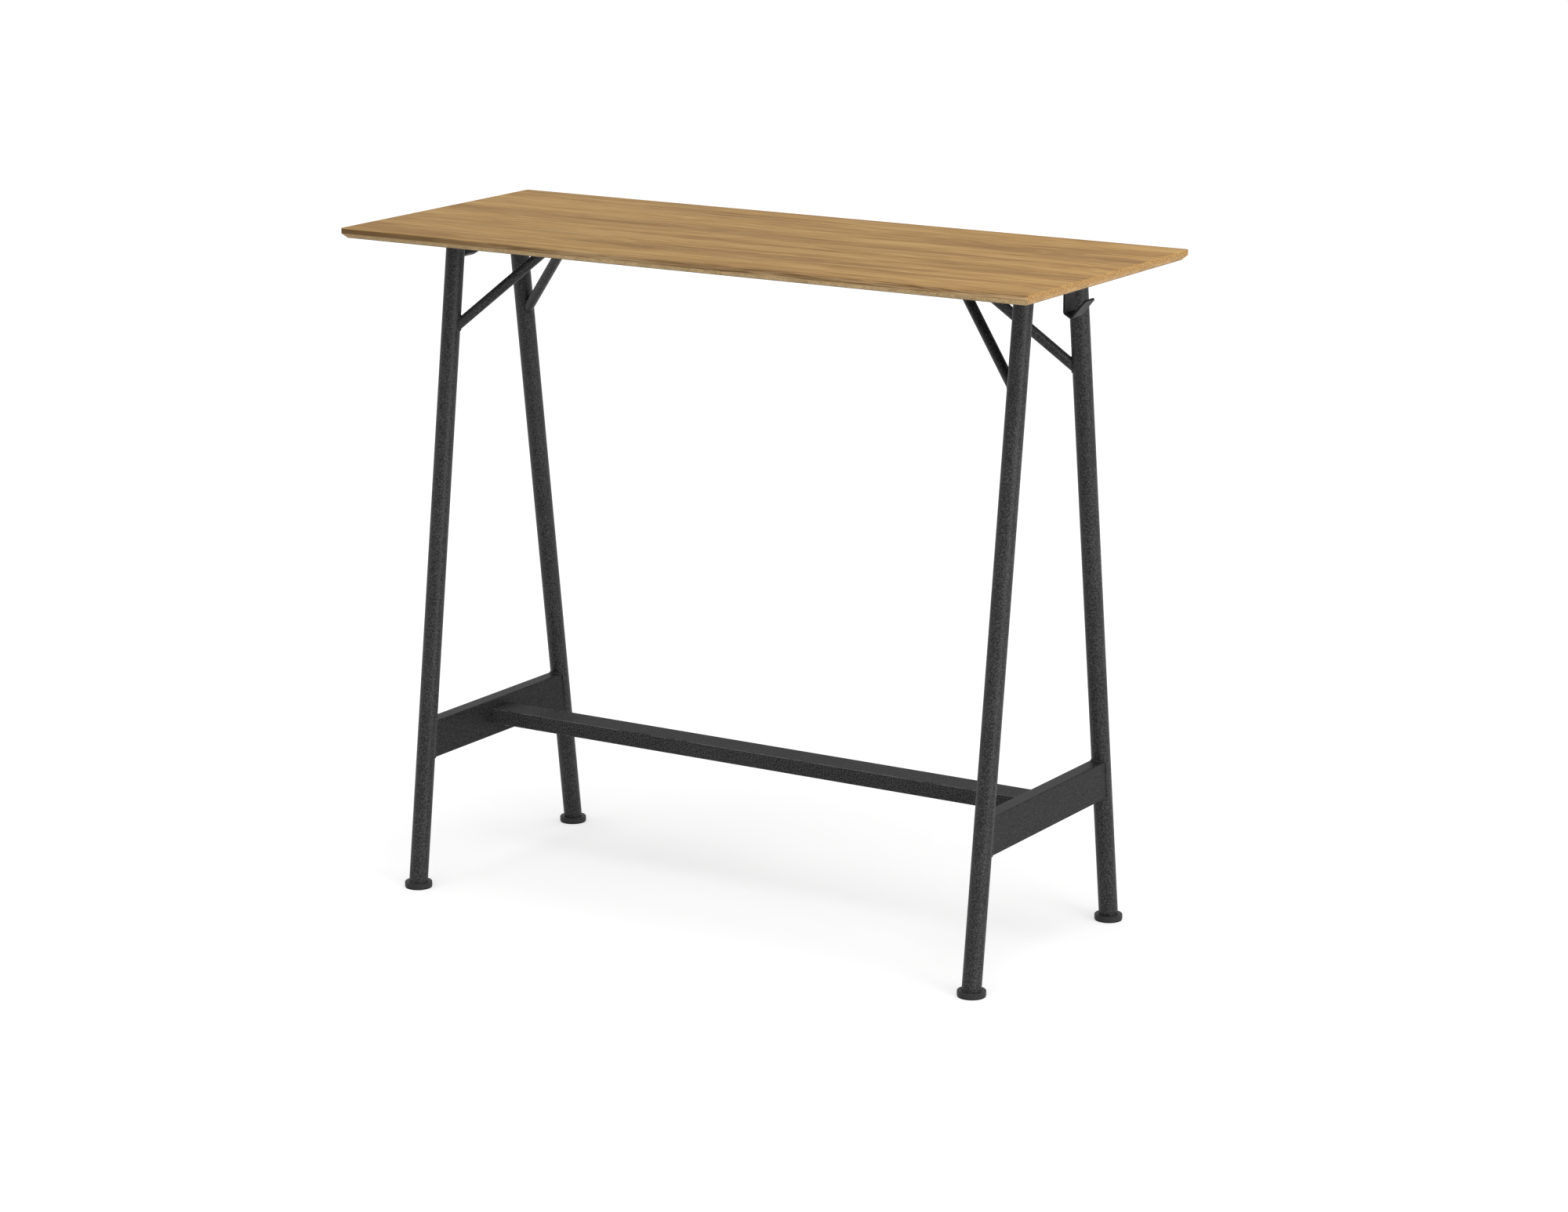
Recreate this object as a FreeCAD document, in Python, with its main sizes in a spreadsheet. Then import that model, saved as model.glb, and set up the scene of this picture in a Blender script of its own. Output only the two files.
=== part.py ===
import FreeCAD, Part
import math
import os

import Sketcher

# A counter-height desk: a bevelled board on two A-shaped tube frames, tied by a
# footrest and braced to the board. X runs along the desk, -Y is the sitter's side
# and Z is up from the floor, with the origin on the floor under the board's middle.

doc = FreeCAD.newDocument("ClerksStandingDesk")
sheet = doc.addObject("Spreadsheet::Sheet", "Sizes")

DRIVING_SIZES = {
    # board
    "top_length": "1219",
    "top_depth": "501",
    "top_height": "1064",
    "laminate_thick": "0.8",
    "core_thick": "14.4",
    "backer_thick": "0.8",
    "band_thick": "1",
    "edge_height": "8",
    "bevel_inset": "8",
    "corner_radius": "3",
    "arris": "0.4",
    # legs, which lean in the Y direction only
    "leg_x": "511",
    "leg_floor_y": "218.7",
    "leg_lean": "7.5",
    "leg_radius": "15",
    "leg_wall": "2",
    # crossbars and footrest
    "tube_wall": "2",
    "tube_edge_radius": "2",
    "crossbar_width": "25",
    "crossbar_height": "60",
    "crossbar_top": "268.6",
    "footrest_width": "50",
    "footrest_height": "25",
    "footrest_top": "254",
    "sleeve_play": "0.2",
    "sleeve_wall": "3",
    "sleeve_length": "40",
    # braces
    "brace_radius": "8",
    "brace_wall": "1.5",
    "brace_low_height": "888",
    "brace_head_x": "353.5",
    "brace_head_y": "10",
    # flat bars and plates under the board
    "plate_thick": "5",
    "rail_width": "44",
    "rail_length": "240",
    "rail_screw_pitch": "210",
    "brace_plate_x": "350",
    "brace_plate_width": "60",
    "brace_plate_length": "90",
    "brace_screw_pitch": "68",
    # bag hook, a flat strip bent three times; corners are of its underside
    "hook_width": "30",
    "hook_thick": "3",
    "hook_flange_x": "495",
    "hook_stem_x": "539",
    "hook_heel_height": "998.2",
    "hook_toe_x": "552.3",
    "hook_toe_height": "990.3",
    "hook_tip_x": "576.6",
    "hook_tip_height": "1019",
    "hook_bend_radius": "2",
    "hook_tip_round": "4",
    "hook_screw_pitch": "16",
    # screws, pilot holes and threaded holes
    "screw_radius": "3",
    "screw_hole_radius": "3.3",
    "screw_head_flats": "10",
    "screw_head_height": "4",
    "screw_length": "16",
    "pilot_depth": "12.5",
    "thread_bore_radius": "3.05",
    "footrest_screw_inset": "16.5",
    "footrest_screw_pitch": "24",
    "footrest_screw_length": "10",
    # levelling feet
    "plug_length": "20",
    "stud_radius": "4",
    "stud_bore_radius": "4.05",
    "stud_length": "27",
    "stud_seat": "4.5",
    "pad_radius": "22",
    "pad_thick": "7.5",
    "pad_round": "1",
    "sole_radius": "21.3",
    "sole_thick": "2",
    "sole_pin_length": "1.8",
    "sole_pin_gap": "0.2",
}

for row, (alias, value) in enumerate(DRIVING_SIZES.items(), start=1):
    sheet.set(f"A{row}", alias)
    sheet.set(f"B{row}", value)
    sheet.setAlias(f"B{row}", alias)
doc.recompute()

SIDES = {"left": -1, "right": 1}
ROWS = {"front": -1, "rear": 1}

X_AXIS = FreeCAD.Vector(1, 0, 0)
Y_AXIS = FreeCAD.Vector(0, 1, 0)
Z_AXIS = FreeCAD.Vector(0, 0, 1)

# heights and places that follow from the driving sizes, as expressions
BOARD_UNDERSIDE = "(Sizes.top_height - Sizes.laminate_thick - Sizes.core_thick - Sizes.backer_thick)"
PLATE_UNDERSIDE = f"({BOARD_UNDERSIDE} - Sizes.plate_thick)"
PAD_TOP = "(Sizes.sole_thick + Sizes.pad_thick)"
LEG_FOOT_Y = f"(Sizes.leg_floor_y - {PAD_TOP} * tan(Sizes.leg_lean))"
CROSSBAR_FACE_X = "(Sizes.leg_x - Sizes.crossbar_width / 2)"
CROSSBAR_MIDDLE = "(Sizes.crossbar_top - Sizes.crossbar_height / 2)"
FOOTREST_MIDDLE = "(Sizes.footrest_top - Sizes.footrest_height / 2)"
FOOTREST_UNDERSIDE = "(Sizes.footrest_top - Sizes.footrest_height)"

# longer than the desk, for cuts that go right through
REACH = "3000"

nodes = {}


# ---------------------------------------------------------------- document helpers

def bind(item, expressions):
    for name, expression in expressions.items():
        item.setExpression(name, expression)


def place(item, x="0", y="0", z="0"):
    bind(item, {"Placement.Base.x": x, "Placement.Base.y": y, "Placement.Base.z": z})


def named(label, item):
    """Registers an object as the sub-part with this name."""
    item.Label = label
    nodes[label] = item


def box(name, length, width, height, x, y, z):
    """A box centred on x and y that stands on z."""
    item = doc.addObject("Part::Box", name)
    bind(item, {"Length": length, "Width": width, "Height": height})
    place(item, f"{x} - ({length}) / 2", f"{y} - ({width}) / 2", z)
    return item


def boolean(kind, name, base, tool):
    item = doc.addObject(f"Part::{kind}", name)
    item.Base = base
    item.Tool = tool
    return item


def compound(name, items):
    item = doc.addObject("Part::Compound", name)
    item.Links = items
    return item


# ---------------------------------------------------------------- sketch helpers

def originFeature(body, role):
    return [feature for feature in body.Origin.OriginFeatures if feature.Role == role][0]


def sketchOn(body, role, name):
    sketch = body.newObject("Sketcher::SketchObject", name)
    sketch.AttachmentSupport = (originFeature(body, role), [""])
    sketch.MapMode = "FlatFace"
    return sketch


def valueOf(item, expression):
    """What an expression comes to in this object, as a plain number."""
    result = item.evalExpression(expression)
    return float(getattr(result, "Value", result))


def dimension(sketch, kind, geometry, expression):
    """Adds a driving dimension and ties it to the spreadsheet."""
    constraint = Sketcher.Constraint(kind, *geometry, valueOf(sketch, expression))
    index = sketch.addConstraint(constraint)
    sketch.setExpression(f"Constraints[{index}]", expression)


def rectangle(sketch, width, height):
    """Draws a rectangle centred on the sketch's origin."""
    halfWidth = valueOf(sketch, width) / 2
    halfHeight = valueOf(sketch, height) / 2
    signs = ((-1, -1), (1, -1), (1, 1), (-1, 1))
    corners = [FreeCAD.Vector(u * halfWidth, v * halfHeight, 0) for u, v in signs]
    for i in range(4):
        sketch.addGeometry(Part.LineSegment(corners[i], corners[(i + 1) % 4]))
    for i in range(4):
        direction = "Horizontal" if i % 2 == 0 else "Vertical"
        sketch.addConstraint(Sketcher.Constraint("Coincident", i, 2, (i + 1) % 4, 1))
        sketch.addConstraint(Sketcher.Constraint(direction, i))
    sketch.addConstraint(Sketcher.Constraint("Symmetric", 0, 1, 2, 1, -1, 1))
    dimension(sketch, "DistanceX", (0, 1, 0, 2), width)
    dimension(sketch, "DistanceY", (1, 1, 1, 2), height)


def circle(sketch, radius):
    """Draws a circle on the sketch's origin."""
    ring = sketch.addGeometry(Part.Circle(FreeCAD.Vector(), Z_AXIS, valueOf(sketch, radius)))
    sketch.addConstraint(Sketcher.Constraint("Coincident", ring, 3, -1, 1))
    dimension(sketch, "Radius", (ring,), radius)


def pin(sketch, line, point):
    """Holds the start of a line at a pair of expressions, measured from the origin."""
    for kind, axis, expression in zip(("DistanceX", "DistanceY"), (-2, -1), point):
        if expression == "0":
            sketch.addConstraint(Sketcher.Constraint("PointOnObject", line, 1, axis))
        else:
            dimension(sketch, kind, (-1, 1, line, 1), expression)


def outline(sketch, points):
    """Draws a closed outline through points given as pairs of expressions."""
    corners = [FreeCAD.Vector(valueOf(sketch, u), valueOf(sketch, v), 0) for u, v in points]
    count = len(corners)
    for i in range(count):
        sketch.addGeometry(Part.LineSegment(corners[i], corners[(i + 1) % count]))
    for i in range(count):
        sketch.addConstraint(Sketcher.Constraint("Coincident", i, 2, (i + 1) % count, 1))
        pin(sketch, i, points[i])


# ---------------------------------------------------------------- body helpers

def newBody(name):
    return doc.addObject("PartDesign::Body", name)


def pad(body, sketch, length, sideType="One side"):
    feature = body.newObject("PartDesign::Pad", "Pad")
    feature.Profile = sketch
    feature.SideType = sideType
    feature.setExpression("Length", length)
    doc.recompute()
    return feature


def pocket(body, sketch, sideType="Symmetric"):
    """Cuts a sketch's outline right through, both ways or only down from its plane."""
    feature = body.newObject("PartDesign::Pocket", "Pocket")
    feature.Profile = sketch
    feature.SideType = sideType
    feature.setExpression("Length", REACH)
    doc.recompute()
    return feature


def drill(body, radius, x, y, sideType="Symmetric"):
    """A vertical round hole at a place in the body's own frame."""
    sketch = sketchOn(body, "XY_Plane", "Hole")
    bind(sketch, {"AttachmentOffset.Base.x": x, "AttachmentOffset.Base.y": y})
    circle(sketch, radius)
    return pocket(body, sketch, sideType)


def repeat(body, features, axis, pitch, count):
    """Repeats features in a row along one of the body's axes."""
    pattern = body.newObject("PartDesign::LinearPattern", "Pattern")
    pattern.Originals = features
    pattern.Direction = (originFeature(body, axis), [""])
    pattern.Mode = "Spacing"
    pattern.setExpression("Offset", pitch)
    pattern.Occurrences = count
    body.Tip = pattern
    doc.recompute()


def straightEdges(shape, axis, test=lambda middle: True):
    """Numbers of the straight edges along an axis whose middle passes a test."""
    found = []
    for number, edge in enumerate(shape.Edges, start=1):
        if isinstance(edge.Curve, Part.Line) and edge.Curve.Direction.cross(axis).Length < 1e-6:
            if test(edge.CenterOfMass):
                found.append(number)
    return found


def dress(body, kind, base, edges, expressions):
    """Adds a fillet or chamfer on numbered edges of the last feature."""
    feature = body.newObject(f"PartDesign::{kind}", kind)
    feature.Base = (base, [f"Edge{number}" for number in edges])
    if kind == "Chamfer":
        feature.ChamferType = "Two distances"
    bind(feature, expressions)
    doc.recompute()
    return feature


def turned(name, points, x, y, z):
    """A part turned about a vertical axis."""
    body = newBody(name)
    sketch = sketchOn(body, "XZ_Plane", "Profile")
    outline(sketch, points)
    feature = body.newObject("PartDesign::Revolution", "Revolution")
    feature.Profile = sketch
    feature.ReferenceAxis = (sketch, ["V_Axis"])
    feature.Angle = 360
    doc.recompute()
    place(body, x, y, z)
    return body


def hollowSection(name, role, width, height, wall, length, radius):
    """A rectangular tube drawn both ways from the middle, with rounded outer edges."""
    body = newBody(name)
    outside = sketchOn(body, role, "Outside")
    rectangle(outside, width, height)
    solid = pad(body, outside, length, "Symmetric")
    axis = Y_AXIS if role == "XZ_Plane" else X_AXIS
    dress(body, "Fillet", solid, straightEdges(solid.Shape, axis), {"Radius": radius})
    inside = sketchOn(body, role, "Inside")
    rectangle(inside, f"{width} - 2 * {wall}", f"{height} - 2 * {wall}")
    pocket(body, inside)
    return body


# ---------------------------------------------------------------- board

def profiledBoard():
    """The glued-up board: a bevelled underside, rounded corners and an eased top edge."""
    body = newBody("ProfiledBoard")
    sketch = sketchOn(body, "XY_Plane", "BoardOutline")
    rectangle(sketch, "Sizes.top_length", "Sizes.top_depth")
    blank = pad(body, sketch, f"Sizes.top_height - {BOARD_UNDERSIDE}")

    def isLow(middle):
        return middle.z < valueOf(sheet, "Sizes.backer_thick")

    lowEdges = straightEdges(blank.Shape, X_AXIS, isLow) + straightEdges(blank.Shape, Y_AXIS, isLow)
    bevelRise = f"Sizes.top_height - {BOARD_UNDERSIDE} - Sizes.edge_height"
    bevel = dress(body, "Chamfer", blank, lowEdges, {"Size": bevelRise, "Size2": "Sizes.bevel_inset"})
    rounded = dress(body, "Fillet", bevel, straightEdges(bevel.Shape, Z_AXIS),
                    {"Radius": "Sizes.corner_radius"})

    edgeTop = valueOf(sheet, f"Sizes.top_height - {BOARD_UNDERSIDE}")
    rim = [number for number, edge in enumerate(rounded.Shape.Edges, start=1)
           if abs(edge.BoundBox.ZMin - edgeTop) < 1e-6]
    dress(body, "Chamfer", rounded, rim, {"Size": "Sizes.arris", "Size2": "Sizes.arris"})
    place(body, z=BOARD_UNDERSIDE)
    return body


def boardHeart(low):
    """The core's blank: as the board's outline, but set in by the edge strip."""
    body = newBody("BoardHeart")
    sketch = sketchOn(body, "XY_Plane", "HeartOutline")
    inset = "2 * Sizes.band_thick"
    rectangle(sketch, f"Sizes.top_length - {inset}", f"Sizes.top_depth - {inset}")
    blank = pad(body, sketch, "Sizes.core_thick")
    radius = "Sizes.corner_radius - Sizes.band_thick"
    dress(body, "Fillet", blank, straightEdges(blank.Shape, Z_AXIS), {"Radius": radius})
    place(body, z=low)
    return body


def board(pilotHoles):
    """Face sheet, core, edge strip and balancing sheet, all cut to one profile."""
    whole = profiledBoard()
    coreLow = f"({BOARD_UNDERSIDE} + Sizes.backer_thick)"
    coreHigh = "(Sizes.top_height - Sizes.laminate_thick)"
    heart = boardHeart(coreLow)

    def zone(name, low, thick):
        slab = box(f"{name}Slab", "Sizes.top_length", "Sizes.top_depth", thick, "0", "0", low)
        return boolean("Common", name, whole, slab)

    backer = zone("Backer", BOARD_UNDERSIDE, "Sizes.backer_thick")
    middle = zone("Middle", coreLow, "Sizes.core_thick")
    core = boolean("Common", "Core", whole, heart)
    named("worktop_laminate", zone("FaceSheet", coreHigh, "Sizes.laminate_thick"))
    named("worktop_edge_band", boolean("Cut", "EdgeStrip", middle, heart))
    named("worktop_core", boolean("Cut", "DrilledCore", core, pilotHoles))
    named("worktop_backer", boolean("Cut", "DrilledBacker", backer, pilotHoles))


# ---------------------------------------------------------------- screws

def hexagon(sketch, acrossFlats):
    """Draws a regular hexagon on the sketch's origin."""
    radius = valueOf(sketch, acrossFlats) / 3 ** 0.5
    corners = [FreeCAD.Vector(radius * math.cos(i * math.pi / 3), radius * math.sin(i * math.pi / 3), 0)
               for i in range(6)]
    for i in range(6):
        sketch.addGeometry(Part.LineSegment(corners[i], corners[(i + 1) % 6]))
    ring = sketch.addGeometry(Part.Circle(FreeCAD.Vector(), Z_AXIS, radius), True)
    sketch.addConstraint(Sketcher.Constraint("Coincident", ring, 3, -1, 1))
    for i in range(6):
        sketch.addConstraint(Sketcher.Constraint("Coincident", i, 2, (i + 1) % 6, 1))
        sketch.addConstraint(Sketcher.Constraint("PointOnObject", i, 1, ring))
    for i in range(5):
        sketch.addConstraint(Sketcher.Constraint("Equal", i, i + 1))
    sketch.addConstraint(Sketcher.Constraint("PointOnObject", 0, 1, -1))
    dimension(sketch, "Radius", (ring,), f"{acrossFlats} / sqrt(3)")


def screws(name, length, x, y, seat, row):
    """A row of hex-head screws that point up, their heads under a seat at this height."""
    body = newBody(name)
    headSketch = sketchOn(body, "XY_Plane", "Head")
    hexagon(headSketch, "Sizes.screw_head_flats")
    head = pad(body, headSketch, "Sizes.screw_head_height")
    shankSketch = sketchOn(body, "XY_Plane", "Shank")
    circle(shankSketch, "Sizes.screw_radius")
    shank = pad(body, shankSketch, f"Sizes.screw_head_height + {length}")
    repeat(body, [head, shank], *row)
    place(body, x, y, f"{seat} - Sizes.screw_head_height")
    return body


def pilotPegs(name, x, y, row):
    """What a row of blind pilot holes takes out of the board's underside."""
    body = newBody(name)
    sketch = sketchOn(body, "XY_Plane", "Pilot")
    circle(sketch, "Sizes.thread_bore_radius")
    repeat(body, [pad(body, sketch, "Sizes.pilot_depth")], *row)
    place(body, x, y, BOARD_UNDERSIDE)
    return body


# the repeats of each group of screws: axis, pitch and count
RAIL_ROW = ("Y_Axis", "Sizes.rail_screw_pitch", 2)
HOOK_ROW = ("X_Axis", "Sizes.hook_screw_pitch", 2)
BRACE_ROW = ("Y_Axis", "Sizes.brace_screw_pitch", 2)
FOOTREST_ROW = ("Y_Axis", "Sizes.footrest_screw_pitch", 2)
FIRST_RAIL_Y = "-Sizes.rail_screw_pitch / 2"
FIRST_BRACE_Y = "-Sizes.brace_screw_pitch / 2"


def boardScrews():
    """Screws up into the board, through each plate and hook. Returns their pilot holes."""
    pilots = []
    for side, sign in SIDES.items():
        railX = f"{sign} * Sizes.leg_x"
        groups = {
            "rail": (railX, FIRST_RAIL_Y, "0", RAIL_ROW),
            "hook": (f"{railX} - Sizes.hook_screw_pitch / 2", "0", "Sizes.hook_thick", HOOK_ROW),
            "brace": (f"{sign} * Sizes.brace_plate_x", FIRST_BRACE_Y, "0", BRACE_ROW),
        }
        for use, (x, y, hookThick, row) in groups.items():
            title = f"{side.title()}{use.title()}"
            named(f"{side}_{use}_screws", screws(f"{title}Screws", "Sizes.screw_length", x, y,
                                                 f"{PLATE_UNDERSIDE} - {hookThick}", row))
            pilots.append(pilotPegs(f"{title}Pilots", x, y, row))
    return compound("PilotHoles", pilots)


# ---------------------------------------------------------------- legs and crossbars

def legCylinder(name, sideSign, rowSign, radius):
    """A cylinder on a leg's axis, longer than the leg at both ends."""
    item = doc.addObject("Part::Cylinder", name)
    item.Placement = FreeCAD.Placement(FreeCAD.Vector(), FreeCAD.Rotation(X_AXIS, rowSign))
    below = "Sizes.plug_length"
    startY = f"{rowSign} * (Sizes.leg_floor_y + {below} * tan(Sizes.leg_lean))"
    bind(item, {"Radius": radius, "Height": "1.1 * Sizes.top_height"})
    bind(item, {"Placement.Rotation.Angle": f"{rowSign} * Sizes.leg_lean"})
    place(item, f"{sideSign} * Sizes.leg_x", startY, f"-{below}")
    return item


def leg(row, side):
    """A leg tube cut level at both ends, with a threaded plug in its foot.

    Returns the leg's full cylinder, which saddles what is welded to it.
    """
    rowSign = ROWS[row]
    title = f"{row.title()}{side.title()}"
    x = f"{SIDES[side]} * Sizes.leg_x"
    outer = legCylinder(f"{title}LegOutside", SIDES[side], rowSign, "Sizes.leg_radius")
    inner = legCylinder(f"{title}LegInside", SIDES[side], rowSign, "Sizes.leg_radius - Sizes.leg_wall")

    def zone(name, height):
        return box(f"{title}{name}Zone", "4 * Sizes.leg_radius", "3 * Sizes.leg_floor_y",
                   height, x, "0", PAD_TOP)

    tube = boolean("Cut", f"{title}Tube", outer, inner)
    legZone = zone("Leg", f"{PLATE_UNDERSIDE} - {PAD_TOP}")
    named(f"{row}_{side}_leg", boolean("Common", f"{title}Leg", tube, legZone))

    bore = doc.addObject("Part::Cylinder", f"{title}PlugBore")
    bind(bore, {"Radius": "Sizes.stud_bore_radius", "Height": f"2 * {PAD_TOP} + Sizes.plug_length"})
    place(bore, x, f"{rowSign} * {LEG_FOOT_Y}")
    plug = boolean("Common", f"{title}Plug", inner, zone("Plug", "Sizes.plug_length"))
    named(f"{row}_{side}_leg_plug", boolean("Cut", f"{title}ThreadedPlug", plug, bore))
    return outer


def crossbar(side, legPair):
    """A deep tube between two legs, each end saddled to the round tube."""
    length = f"2 * (Sizes.leg_floor_y - {CROSSBAR_MIDDLE} * tan(Sizes.leg_lean))"
    body = hollowSection(f"{side.title()}CrossbarTube", "XZ_Plane", "Sizes.crossbar_width",
                         "Sizes.crossbar_height", "Sizes.tube_wall", length, "Sizes.tube_edge_radius")
    place(body, f"{SIDES[side]} * Sizes.leg_x", "0", CROSSBAR_MIDDLE)
    saddles = compound(f"{side.title()}Saddles", legPair)
    named(f"{side}_crossbar", boolean("Cut", f"{side.title()}Crossbar", body, saddles))


# ---------------------------------------------------------------- footrest

def footrest():
    """A flat tube pushed over a sleeve on each crossbar and screwed from below."""
    tube = hollowSection("FootrestTube", "YZ_Plane", "Sizes.footrest_width", "Sizes.footrest_height",
                         "Sizes.tube_wall", f"2 * {CROSSBAR_FACE_X}", "Sizes.tube_edge_radius")
    inside = "2 * (Sizes.tube_wall + Sizes.sleeve_play)"
    firstY = "-Sizes.footrest_screw_pitch / 2"
    for side, sign in SIDES.items():
        screwX = f"{sign} * ({CROSSBAR_FACE_X} - Sizes.footrest_screw_inset)"
        hole = drill(tube, "Sizes.screw_hole_radius", screwX, firstY, "One side")
        repeat(tube, [hole], *FOOTREST_ROW)

        sleeve = hollowSection(f"{side.title()}Sleeve", "YZ_Plane", f"Sizes.footrest_width - {inside}",
                               f"Sizes.footrest_height - {inside}", "Sizes.sleeve_wall",
                               "Sizes.sleeve_length", "Sizes.tube_edge_radius / 2")
        middle = f"({CROSSBAR_FACE_X} - Sizes.sleeve_length / 2)"
        local = f"{screwX} - {sign} * {middle}"
        thread = drill(sleeve, "Sizes.thread_bore_radius", local, firstY, "One side")
        repeat(sleeve, [thread], *FOOTREST_ROW)
        place(sleeve, f"{sign} * {middle}", "0", FOOTREST_MIDDLE)
        named(f"{side}_footrest_sleeve", sleeve)

        named(f"{side}_footrest_screws", screws(
            f"{side.title()}FootrestScrews", "Sizes.footrest_screw_length",
            screwX, firstY, FOOTREST_UNDERSIDE, FOOTREST_ROW))
    place(tube, "0", "0", FOOTREST_MIDDLE)
    named("footrest_stretcher", tube)


# ---------------------------------------------------------------- braces

def brace(row, side, legOutside, belowPlates):
    """A thin tube from the leg up to the plate, saddled at the leg and level at its head."""
    title = f"{row.title()}{side.title()}Brace"
    startY = "(Sizes.leg_floor_y - Sizes.brace_low_height * tan(Sizes.leg_lean))"
    runX = f"({SIDES[side]} * (Sizes.brace_head_x - Sizes.leg_x))"
    runY = f"({ROWS[row]} * (Sizes.brace_head_y - {startY}))"
    rise = f"({PLATE_UNDERSIDE} - Sizes.brace_low_height)"
    run = f"sqrt({runX} ^ 2 + {runY} ^ 2)"
    start = f"vector({SIDES[side]} * Sizes.leg_x; {ROWS[row]} * {startY}; Sizes.brace_low_height)"
    turn = f"rotation(vector(-{runY}; {runX}; 0); atan2({run}; {rise}))"

    def rod(name, radius):
        item = doc.addObject("Part::Cylinder", f"{title}{name}")
        bind(item, {"Radius": radius, "Height": f"sqrt({runX} ^ 2 + {runY} ^ 2 + {rise} ^ 2) * 1.1"})
        item.setExpression("Placement", f"placement({start}; {turn})")
        return item

    outside = rod("Outside", "Sizes.brace_radius")
    inside = rod("Inside", "Sizes.brace_radius - Sizes.brace_wall")
    tube = boolean("Cut", f"{title}Tube", outside, inside)
    level = boolean("Common", f"{title}Level", tube, belowPlates)
    named(f"{row}_{side}_brace", boolean("Cut", title, level, legOutside))


# ---------------------------------------------------------------- bars, plates and hooks

def plate(label, width, length, x, holes):
    """A flat plate under the board, with rows of screw holes."""
    body = newBody(label.title().replace("_", ""))
    sketch = sketchOn(body, "XY_Plane", "PlateOutline")
    rectangle(sketch, width, length)
    pad(body, sketch, "Sizes.plate_thick")
    for holeX, holeY, row in holes:
        hole = drill(body, "Sizes.screw_hole_radius", holeX, holeY)
        repeat(body, [hole], *row)
    place(body, x, "0", PLATE_UNDERSIDE)
    named(label, body)


def hookCorners():
    """Corners of the strip's underside, from its flange under the rail to its tip."""
    flangeUnderside = f"{PLATE_UNDERSIDE} - Sizes.hook_thick"
    return [
        ("Sizes.hook_flange_x", flangeUnderside),
        ("Sizes.hook_stem_x", flangeUnderside),
        ("Sizes.hook_stem_x", "Sizes.hook_heel_height"),
        ("Sizes.hook_toe_x", "Sizes.hook_toe_height"),
        ("Sizes.hook_tip_x", "Sizes.hook_tip_height"),
    ]


def bentStrip(sketch, points, thick):
    """Draws a strip of even thickness on the left of a run of straight legs.

    Returns each bend's two corners: the one on the run and the one across the strip.
    """
    run = [FreeCAD.Vector(valueOf(sketch, u), valueOf(sketch, v), 0) for u, v in points]
    legsCount = len(run) - 1
    normals = [Z_AXIS.cross((run[i + 1] - run[i]).normalize()) for i in range(legsCount)]
    depth = valueOf(sketch, thick)
    across = [run[0] + normals[0] * depth]
    for i in range(1, legsCount):
        share = 1 + normals[i - 1].dot(normals[i])
        across.append(run[i] + (normals[i - 1] + normals[i]) * (depth / share))
    across.append(run[-1] + normals[-1] * depth)

    for i in range(legsCount):
        sketch.addGeometry(Part.LineSegment(run[i], run[i + 1]))
    endCap = sketch.addGeometry(Part.LineSegment(run[-1], across[-1]))
    for i in range(legsCount):
        sketch.addGeometry(Part.LineSegment(across[i], across[i + 1]))
    startCap = sketch.addGeometry(Part.LineSegment(run[0], across[0]))

    for i in range(legsCount):
        other = endCap + 1 + i
        pin(sketch, i, points[i])
        sketch.addConstraint(Sketcher.Constraint("Parallel", i, other))
        dimension(sketch, "Distance", (other, 1, i), thick)
        if i:
            sketch.addConstraint(Sketcher.Constraint("Coincident", i - 1, 2, i, 1))
            sketch.addConstraint(Sketcher.Constraint("Coincident", other - 1, 2, other, 1))
    pin(sketch, endCap, points[-1])
    sketch.addConstraint(Sketcher.Constraint("Coincident", legsCount - 1, 2, endCap, 1))
    sketch.addConstraint(Sketcher.Constraint("Coincident", endCap, 2, startCap - 1, 2))
    sketch.addConstraint(Sketcher.Constraint("Coincident", startCap, 1, 0, 1))
    sketch.addConstraint(Sketcher.Constraint("Coincident", startCap, 2, endCap + 1, 1))
    sketch.addConstraint(Sketcher.Constraint("Perpendicular", startCap, 0))
    sketch.addConstraint(Sketcher.Constraint("Perpendicular", endCap, legsCount - 1))
    return list(zip(run, across))


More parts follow.
